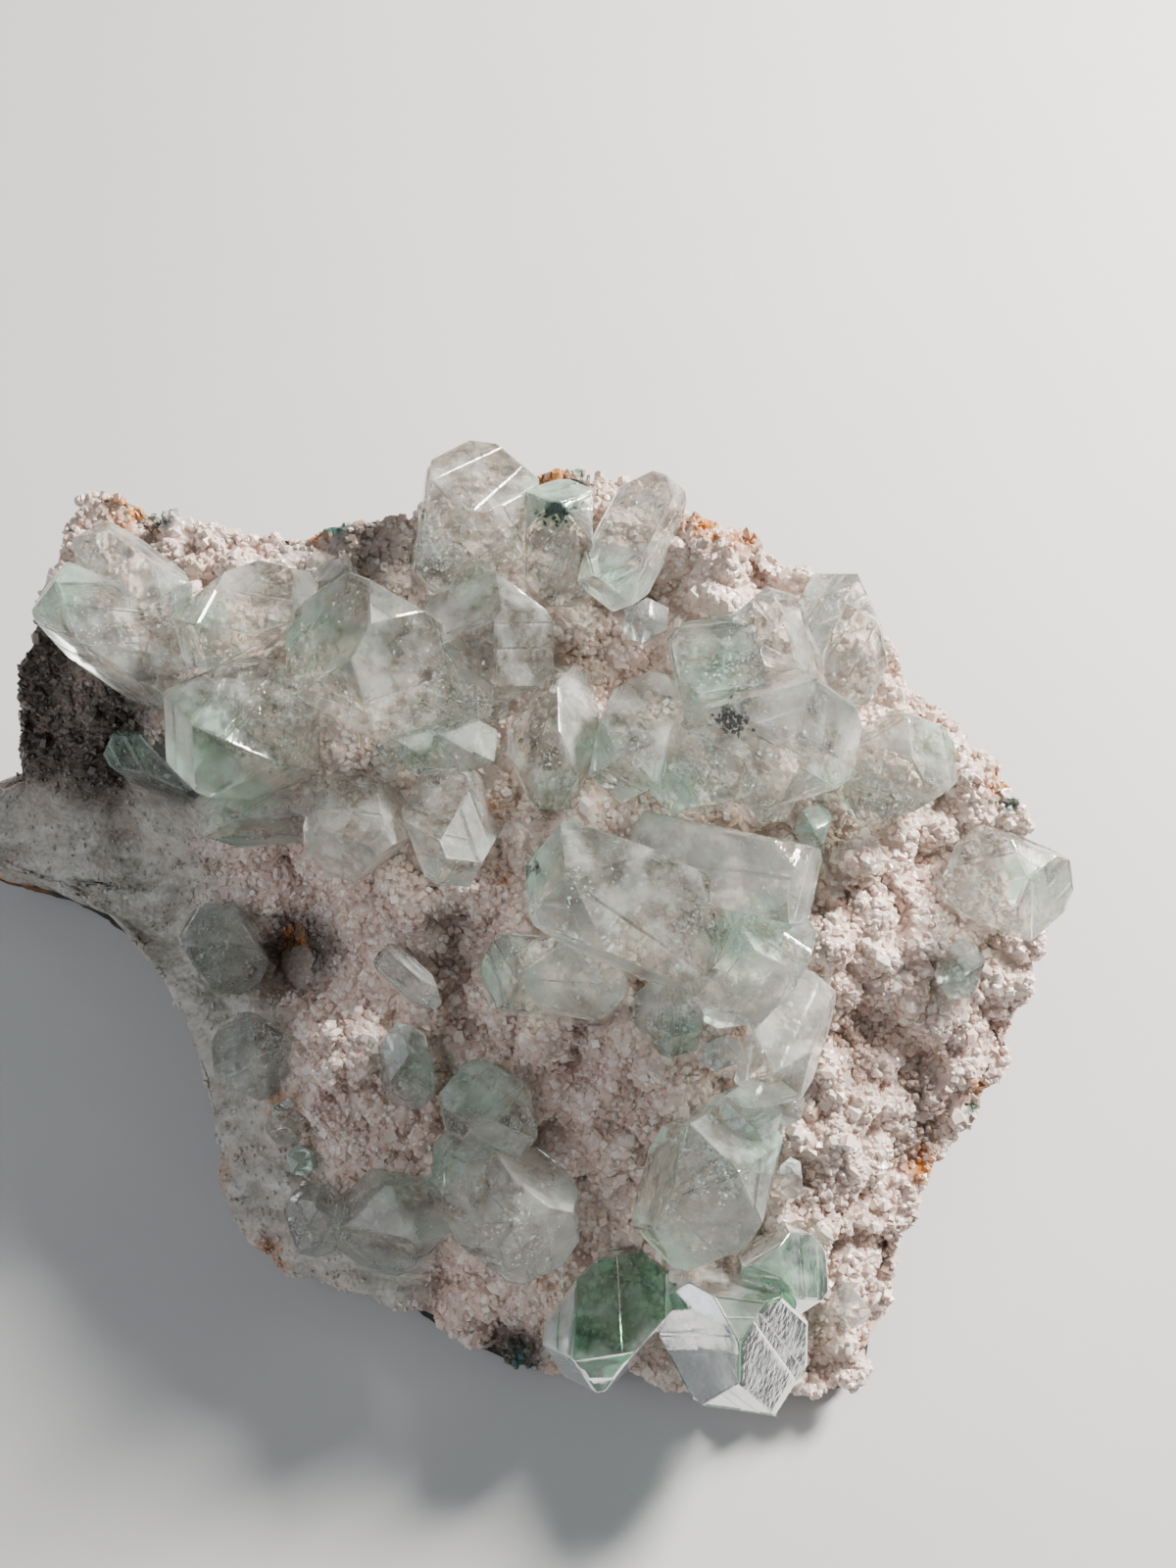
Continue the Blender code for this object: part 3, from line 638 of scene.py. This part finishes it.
def rounded(place):
    return tuple(round(number, 3) for number in place)


def middle_of(part):
    """A face's or an edge's middle. Parts are sorted by it, because their own order varies."""
    return rounded(sum((vert.co for vert in part.verts), Vector()) / len(part.verts))


def clean_solid(node):
    """The node's mesh in mm with its flat faces whole again."""
    bm = bmesh.new()
    bm.from_mesh(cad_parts[node].data)
    bmesh.ops.scale(bm, vec=(1 / MM,) * 3, verts=bm.verts)
    bmesh.ops.remove_doubles(bm, verts=bm.verts, dist=0.002)
    bmesh.ops.dissolve_limit(
        bm, angle_limit=math.radians(0.6), verts=bm.verts, edges=bm.edges, delimit=set()
    )
    bmesh.ops.dissolve_degenerate(bm, edges=bm.edges, dist=0.02)
    facet = bm.faces.layers.int.new("facet")
    for number, face in enumerate(sorted(bm.faces, key=middle_of)):
        face[facet] = number
    return bm


def round_edges(bm):
    sharp = [
        e
        for e in bm.edges
        if e.is_manifold and e.is_convex and e.calc_face_angle(0) > math.radians(12)
    ]
    bmesh.ops.bevel(
        bm,
        geom=sharp,
        offset=BEVEL,
        segments=2,
        profile=0.5,
        affect="EDGES",
        clamp_overlap=True,
        offset_type="OFFSET",
    )


def split_face(bm, face, dice):
    """Cuts a face along a line beside one of its edges. Returns the faces that come of it."""
    edges = sorted(face.edges, key=middle_of)
    edge = max(edges, key=lambda e: e.calc_length() * dice.uniform(0.3, 1.0))
    start, end = sorted((vert.co for vert in edge.verts), key=rounded)
    along = (end - start).normalized()
    turn = Matrix.Rotation(math.radians(dice.gauss(0, 7)), 3, face.normal)
    across = face.normal.cross(turn @ along).normalized()
    centre = face.calc_center_median()
    reach = math.sqrt(face.calc_area())
    middle = centre + across * dice.uniform(-0.3, 0.3) * reach
    parts = [face, *face.edges, *face.verts]
    found = bmesh.ops.bisect_plane(bm, geom=parts, dist=1e-4, plane_co=middle, plane_no=across)
    return [g for g in found["geom"] if isinstance(g, bmesh.types.BMFace)]


def grow_terraces(bm, dice):
    """Low steps on the large faces, as a crystal's faces grow layer on layer."""
    large = [f for f in bm.faces if f.calc_area() > TERRACE_AREA]
    for face in sorted(large, key=middle_of):
        parts = split_face(bm, face, dice)
        if len(parts) > 1 and dice.random() < 0.7:
            widest = max(parts, key=lambda f: f.calc_area())
            parts.remove(widest)
            parts += split_face(bm, widest, dice)
        for part in sorted(parts, key=middle_of):
            if part.calc_area() < 1.5:
                continue
            bmesh.ops.inset_individual(
                bm,
                faces=[part],
                thickness=dice.uniform(0.12, 0.35),
                depth=dice.uniform(-1.0, 1.0) * TERRACE_STEP,
                use_even_offset=True,
            )


def split_long_edges(bm):
    bmesh.ops.triangulate(bm, faces=bm.faces)
    for _ in range(6):
        long = [e for e in bm.edges if e.calc_length() > LONGEST_EDGE]
        if not long:
            break
        bmesh.ops.subdivide_edges(bm, edges=long, cuts=1, use_grid_fill=True)
        bmesh.ops.triangulate(bm, faces=bm.faces)


def wave_faces(bm):
    """A slight waviness, so that no face is a perfect mirror."""
    moves = []
    for vert in bm.verts:
        place = vert.co / WAVE_SIZE
        rise = noise.noise(place) + 0.5 * noise.noise(place * 2.7)
        moves.append(vert.normal * (rise * WAVE_HEIGHT))
    for vert, move in zip(bm.verts, moves):
        vert.co += move


def in_fixed_order(points, triangles):
    """The mesh with points and triangles sorted by place, and the triangles' earlier numbers."""
    order = np.lexsort(np.round(points, 3).T)
    numbers = np.empty(len(order), dtype=int)
    numbers[order] = np.arange(len(order))
    triangles = numbers[triangles]
    turn = (triangles.argmin(axis=1)[:, None] + np.arange(3)) % 3
    triangles = np.take_along_axis(triangles, turn, axis=1)
    earlier = np.lexsort(triangles.T)
    return points[order], triangles[earlier], earlier


def make_crystal_piece(node, material):
    """The node's crystals with rounded edges and growth steps. Returns their points and triangles."""
    dice = random.Random(node)
    bm = clean_solid(node)
    round_edges(bm)
    grow_terraces(bm, dice)
    split_long_edges(bm)
    wave_faces(bm)
    bmesh.ops.recalc_face_normals(bm, faces=bm.faces)
    bm.verts.index_update()
    points = np.array([v.co for v in bm.verts])
    triangles = np.array([[v.index for v in f.verts] for f in bm.faces])
    facet = bm.faces.layers.int["facet"]
    facets = np.array([face[facet] for face in bm.faces])
    bm.free()
    points, triangles, earlier = in_fixed_order(points, triangles)
    facets = facets[earlier]
    name = node.replace("_crystals", "").replace("_crystal", "") + "_clear"
    piece = make_piece(name, points, triangles, material, True, [node])
    piece.data.set_sharp_from_angle(angle=math.radians(17))
    over = points[:, 2] - relief(points[:, :2])
    tips = np.clip(over / 14.0, 0, 1)
    set_values(piece, "green", np.clip(near_spots(points, GREEN_SPOTS) + 0.2 * tips, 0, 1))
    tones = np.random.default_rng(CRYSTAL_NODES.index(node)).random(facets.max() + 1)
    set_values(piece, "facet_tone", tones[facets], "FACE")
    return points, triangles


# What the crystals hold: white flakes on healed cracks, and a few dark specks

FLAKE_RING = [(1, 0, 0), (0.1, 0.8, 0), (-0.9, 0.2, 0), (-0.1, -0.9, 0)]
FLAKE = (
    np.array(FLAKE_RING + [(0, 0, 0.1), (0, 0, -0.1)]),
    np.array(fan(range(4), 4) + turned(fan(range(4), 5))),
)


PROBE = Vector((0.31, 0.47, 0.83)).normalized()


def inside(tree, place, margin):
    """Whether a place is in a solid, at least margin below its surface.

    A line from the place crosses the surface an odd number of times.
    """
    if tree.find_nearest(place)[3] < margin:
        return False
    crossings = 0
    hit = tree.ray_cast(place, PROBE)[0]
    while hit is not None:
        crossings += 1
        hit = tree.ray_cast(hit + PROBE * 0.001, PROBE)[0]
    return crossings % 2 == 1


def veil_places(tree, corners, dice, count):
    """Places on a bent sheet through one of the crystals, below its surface between two corners."""
    centre = dice.choice(corners).lerp(dice.choice(corners), dice.uniform(0, 0.5))
    surface, outwards, _, _ = tree.find_nearest(centre)
    centre = surface - outwards * dice.uniform(1.5, 4.0)
    normal = Vector([dice.gauss(0, 1) for _ in range(3)]).normalized()
    side = normal.orthogonal().normalized()
    other = normal.cross(side)
    radius = dice.uniform(2.5, 5.5)
    places, normals = [], []
    for _ in range(count):
        a, b = dice.gauss(0, 0.45) * radius, dice.gauss(0, 0.45) * radius
        bend = 0.06 * a * a - 0.04 * b * b + dice.gauss(0, 0.08)
        place = centre + side * a + other * b + normal * bend
        if inside(tree, place, 0.45):
            places.append(place)
            normals.append(normal)
    return places, normals


def make_flakes(name, solids, material):
    """Flakes on veils in every crystal."""
    places, normals = [], []
    for node, (points, triangles) in solids.items():
        dice = random.Random("veil" + node)
        tree = BVHTree.FromPolygons(points.tolist(), triangles.tolist())
        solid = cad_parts[node].data
        corners = [vert.co / MM for vert in solid.vertices]
        area = sum(face.area for face in solid.polygons) / MM**2
        for _ in range(max(2, round(area / VEIL_AREA))):
            found = veil_places(tree, corners, dice, FLAKES_IN_VEIL)
            places += found[0]
            normals += found[1]
    places, normals = np.array(places), np.array(normals)
    sizes = 0.13 * np.exp(RNG.normal(0, 0.45, len(places)))
    sizes = np.stack([sizes, sizes, sizes], axis=1)
    points, triangles = strew(FLAKE, places, frames_along(normals, 0.5), sizes, 0.1)
    make_piece(name, points, triangles, material)


def make_specks(name, solids, material):
    """Dark specks a little below the crystals' surface."""
    places = []
    for spot in DARK_SPECKS:
        dice = random.Random(f"{spot.u} {spot.v}")
        for points, triangles in solids.values():
            tree = BVHTree.FromPolygons(points.tolist(), triangles.tolist())
            for _ in range(60):
                u = dice.gauss(spot.u, spot.radius * 0.5)
                v = dice.gauss(spot.v, spot.radius * 0.4)
                away = Vector(AIM + u * TO_RIGHT + v * TO_TOP - EYE).normalized()
                found = tree.ray_cast(Vector(EYE), away)[0]
                if found is not None:
                    place = found + away * dice.uniform(0.4, 1.6)
                    if inside(tree, place, 0.25):
                        places.append(place)
    places = np.array(places)
    sizes = 0.22 * np.exp(RNG.normal(0, 0.4, (len(places), 3)))
    turns = frames_along(np.tile(TO_EYE, (len(places), 1)), 1.0)
    points, triangles = strew(BLOCK, places, turns, sizes, 0.15)
    make_piece(name, points, triangles, material)


# Materials


class Look:
    """A material's nodes, made one by one."""

    def __init__(self, name):
        self.material = bpy.data.materials.new(name)
        self.material.use_nodes = True
        self.tree = self.material.node_tree
        self.shader = self.tree.nodes["Principled BSDF"]
        self.place = self.node("ShaderNodeTexCoord").outputs["Object"]

    def node(self, kind, **settings):
        found = self.tree.nodes.new(kind)
        for key, value in settings.items():
            setattr(found, key, value)
        return found

    def link(self, value, socket):
        if isinstance(value, bpy.types.NodeSocket):
            self.tree.links.new(value, socket)
        else:
            socket.default_value = value

    def set(self, **values):
        for key, value in values.items():
            self.link(value, self.shader.inputs[key.replace("_", " ")])

    def kept(self, name):
        return self.node("ShaderNodeAttribute", attribute_name=name).outputs["Fac"]

    def noise(self, size, detail=3.0, roughness=0.55, stretch=None):
        """Noise from 0 to 1 with features of that size in mm."""
        found = self.node("ShaderNodeTexNoise")
        place = self.place
        if stretch:
            mapping = self.node("ShaderNodeMapping")
            mapping.inputs["Scale"].default_value = stretch
            self.link(place, mapping.inputs["Vector"])
            place = mapping.outputs["Vector"]
        self.link(place, found.inputs["Vector"])
        found.inputs["Scale"].default_value = 1 / (size * MM)
        found.inputs["Detail"].default_value = detail
        found.inputs["Roughness"].default_value = roughness
        return found.outputs["Fac"]

    def cells(self, size, feature="F1"):
        found = self.node("ShaderNodeTexVoronoi", feature=feature)
        self.link(self.place, found.inputs["Vector"])
        found.inputs["Scale"].default_value = 1 / (size * MM)
        return found.outputs["Distance"]

    def between(self, value, low, high, start=0.0, end=1.0):
        """value, mapped from low..high to start..end and kept within it."""
        found = self.node("ShaderNodeMapRange")
        self.link(value, found.inputs["Value"])
        for key, number in zip(("From Min", "From Max", "To Min", "To Max"), (low, high, start, end)):
            found.inputs[key].default_value = number
        return found.outputs["Result"]

    def combine(self, kind, a, b):
        """a and b, added or multiplied as kind says and kept from 0 to 1."""
        found = self.node("ShaderNodeMath", operation=kind, use_clamp=True)
        self.link(a, found.inputs[0])
        self.link(b, found.inputs[1])
        return found.outputs[0]

    def mix(self, factor, a, b):
        found = self.node("ShaderNodeMix", data_type="RGBA")
        self.link(factor, found.inputs[0])
        self.link(a, found.inputs[6])
        self.link(b, found.inputs[7])
        return found.outputs[2]

    def bump(self, height, strength, depth):
        found = self.node("ShaderNodeBump")
        self.link(height, found.inputs["Height"])
        found.inputs["Strength"].default_value = strength
        found.inputs["Distance"].default_value = depth * MM
        self.link(found.outputs["Normal"], self.shader.inputs["Normal"])


def colour(red, green, blue):
    return (red, green, blue, 1.0)


def druse_look(name, grain):
    """Pink sugar: grains of uneven colour, rusty and teal at the broken rim, with painted shade in the
    creases and on the dark spots.
    """
    look = Look(name)
    shade = look.kept("shade")
    patches = look.noise(7.0, 4.0)
    pink = look.mix(patches, colour(0.66, 0.46, 0.38), colour(0.85, 0.69, 0.61))
    pale_pink = look.mix(look.between(shade, 0.3, 1.0), pink, colour(0.95, 0.86, 0.80))
    # Painted shade: the creases between the knobs are darkened towards dark brown, standing in for the shade
    # that falls in them
    crease_shade = look.between(look.kept("crease"), 0.38, 0.95, 0.0, 0.9)
    crease_shaded = look.mix(crease_shade, pale_pink, colour(0.26, 0.15, 0.10))
    streaks = look.noise(2.2, 4.0, 0.6, (0.35, 1.0, 1.0))
    grey = look.mix(look.between(streaks, 0.35, 0.7), colour(0.33, 0.30, 0.26), colour(0.66, 0.64, 0.59))
    glassy = look.mix(look.kept("pale"), crease_shaded, grey)
    # Painted shade: the dark spots are darkened almost to black, standing in for the shade in the pit,
    # grooves, recess and shaded wall
    dark = look.combine("MULTIPLY", look.kept("dark"), look.between(look.noise(2.0), 0.3, 0.6, 0.85, 1.0))
    shade_darkened = look.mix(dark, glassy, colour(0.030, 0.021, 0.014))
    breaks = look.between(look.noise(1.6, 4.0), 0.38, 0.55)
    rusty = look.mix(look.combine("MULTIPLY", look.kept("rust"), breaks), shade_darkened, colour(0.45, 0.17, 0.035))
    teal = look.mix(look.combine("MULTIPLY", look.kept("teal"), breaks), rusty, colour(0.035, 0.12, 0.11))
    look.set(
        Base_Color=teal,
        Roughness=look.between(look.noise(0.9, 2.0), 0.3, 0.7, 0.16, 0.42),
        Subsurface_Weight=0.0 if grain else 0.35,
        Subsurface_Radius=(1.0, 0.62, 0.5),
        Subsurface_Scale=0.0011,
        Specular_IOR_Level=0.6,
    )
    if grain:
        look.bump(look.noise(0.25, 2.0), 0.25, 0.05)
    else:
        look.bump(look.cells(0.8), 0.7, 0.3)
    return look.material


def basalt_look():
    """Dark greenish rock with a rusty, teal-stained band below the crust."""
    look = Look("basalt_look")
    grit = look.noise(1.1, 6.0, 0.65)
    rock = look.mix(grit, colour(0.012, 0.016, 0.015), colour(0.075, 0.082, 0.072))
    dusty = look.mix(look.between(look.noise(5.0, 5.0), 0.5, 0.75), rock, colour(0.15, 0.12, 0.09))
    upper = look.kept("upper")
    rust = look.combine("MULTIPLY", upper, look.between(look.noise(3.5, 5.0, 0.6), 0.48, 0.58))
    rusty = look.mix(rust, dusty, colour(0.33, 0.12, 0.03))
    teal = look.combine("MULTIPLY", upper, look.between(look.noise(2.6, 4.0, 0.6), 0.6, 0.68))
    look.set(
        Base_Color=look.mix(teal, rusty, colour(0.03, 0.11, 0.10)),
        Roughness=look.between(grit, 0.3, 0.7, 0.62, 0.95),
    )
    look.bump(look.noise(0.7, 5.0, 0.7), 0.8, 0.35)
    return look.material


def crystal_look():
    """Clear, faintly green and hazy in places, with striated and frosted patches."""
    look = Look("clear_crystal_look")
    green = look.kept("green")
    tone = look.kept("facet_tone")
    cloud = look.noise(5.0, 4.0, 0.6)
    frost = look.combine("MULTIPLY", green, look.between(look.noise(1.5, 3.0), 0.35, 0.6))
    tint = look.mix(green, colour(0.95, 0.97, 0.95), colour(0.66, 0.90, 0.77))
    haze = look.combine("ADD", look.between(cloud, 0.45, 0.75), look.between(tone, 0.55, 1.0, 0.0, 0.6))
    milky = look.combine("ADD", haze, look.between(frost, 0.0, 1.0, 0.0, 0.5))
    look.set(
        Base_Color=tint,
        Roughness=look.between(milky, 0.0, 1.0, 0.03, 0.26),
        Transmission_Weight=look.between(milky, 0.0, 1.0, 0.98, 0.72),
        IOR=1.535,
    )
    striae = look.noise(0.5, 2.0, 0.5, (1.0, 0.25, 1.0))
    look.bump(striae, 0.3, 0.10)
    depth = look.node("ShaderNodeVolumeAbsorption")
    depth.inputs["Color"].default_value = colour(0.78, 0.90, 0.83)
    depth.inputs["Density"].default_value = 12.0
    output = look.tree.nodes["Material Output"]
    look.tree.links.new(depth.outputs["Volume"], output.inputs["Volume"])
    return look.material


def flake_look():
    look = Look("flake_look")
    white = look.mix(look.noise(2.0), colour(0.78, 0.82, 0.79), colour(0.94, 0.95, 0.92))
    look.set(Base_Color=white, Roughness=look.between(look.noise(1.0), 0.3, 0.7, 0.1, 0.3))
    return look.material


def speck_look():
    look = Look("speck_look")
    black = look.mix(look.noise(0.6), colour(0.006, 0.007, 0.007), colour(0.03, 0.035, 0.035))
    look.set(Base_Color=black, Roughness=look.between(look.noise(0.5), 0.3, 0.7, 0.25, 0.55))
    return look.material


# The stage: floor, light and camera


def make_stage():
    bpy.ops.mesh.primitive_plane_add(size=6.0)
    floor = bpy.context.object
    floor.name = "floor"
    look = Look("floor_look")
    paper = look.mix(look.noise(30.0), colour(0.60, 0.60, 0.61), colour(0.64, 0.64, 0.64))
    look.set(Base_Color=paper, Roughness=0.7)
    floor.data.materials.append(look.material)


def add_light(name, place, size, power, tone):
    """A square area light that faces the specimen's middle."""
    data = bpy.data.lights.new(name, "AREA")
    data.size = size
    data.energy = power
    data.color = tone
    light = bpy.data.objects.new(name, data)
    light.location = place
    light.rotation_euler = (Vector(AIM * MM) - Vector(place)).to_track_quat("-Z", "Y").to_euler()
    bpy.context.scene.collection.objects.link(light)


def make_light():
    add_light("key", (0.40, 0.30, 0.36), 0.15, 15.0, (1.0, 0.96, 0.90))
    add_light("fill", (-0.45, -0.25, 0.55), 0.7, 2.2, (0.93, 0.96, 1.0))
    world = bpy.data.worlds.new("studio")
    world.use_nodes = True
    sky = world.node_tree.nodes["Background"]
    sky.inputs["Color"].default_value = (0.80, 0.85, 0.92, 1.0)
    sky.inputs["Strength"].default_value = 0.12
    bpy.context.scene.world = world


def make_camera():
    data = bpy.data.cameras.new("camera")
    data.sensor_fit = "VERTICAL"
    data.sensor_height = SENSOR
    data.lens = SENSOR * VIEW_DISTANCE / VIEW_HEIGHT
    camera = bpy.data.objects.new("camera", data)
    turn = Matrix([TO_RIGHT, TO_TOP, TO_EYE]).transposed()
    camera.matrix_world = Matrix.Translation(Vector(EYE * MM)) @ turn.to_4x4()
    bpy.context.scene.collection.objects.link(camera)
    bpy.context.scene.camera = camera


def main():
    make_camera()
    make_stage()
    make_light()
    surface = make_druse(druse_look("druse_look", False))
    make_grains(druse_look("grain_look", True), surface)
    make_basalt(basalt_look())
    clear = crystal_look()
    solids = {node: make_crystal_piece(node, clear) for node in CRYSTAL_NODES}
    make_flakes("crystal_flakes", solids, flake_look())
    make_specks("crystal_specks", solids, speck_look())


main()
